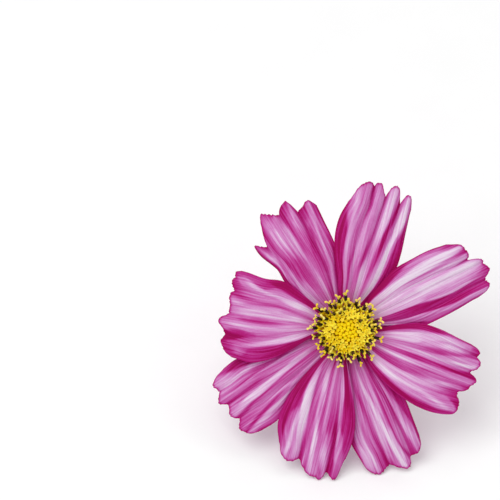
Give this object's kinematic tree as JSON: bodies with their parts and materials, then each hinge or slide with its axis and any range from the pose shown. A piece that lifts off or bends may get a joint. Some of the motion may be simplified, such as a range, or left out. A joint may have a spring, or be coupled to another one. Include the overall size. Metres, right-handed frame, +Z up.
{
  "type": "cosmos flower",
  "caption": "Picked cosmos bloom with pink and white striped petals round a yellow disc, resting on its petal tips and the cut end of its short stem.",
  "frame": {"origin": "on the surface that the flower lies on, under the middle of its bounding box", "axes": "+Z up, +Y from the face of the flower towards the cut end of its stem, +X to the right of whoever looks into the face"},
  "size_m": [0.0712, 0.0764, 0.0556],
  "materials": {
    "petal": "satin, pleated, striped from pale lilac to crimson",
    "floret": "satin yellow",
    "anther": "matt dark brown",
    "inner_bract": "membranous, satin",
    "outer_bract": "satin green",
    "stem": "satin green, finely ribbed"
  },
  "bodies": {
    "root": {"petal_1": "petal", "petal_2": "petal", "petal_3": "petal", "petal_4": "petal", "petal_5": "petal", "petal_6": "petal", "petal_7": "petal", "petal_8": "petal", "disc": "floret", "inner_bracts": "inner_bract", "outer_bracts": "outer_bract", "stem": "stem"}
  },
  "joints": []
}
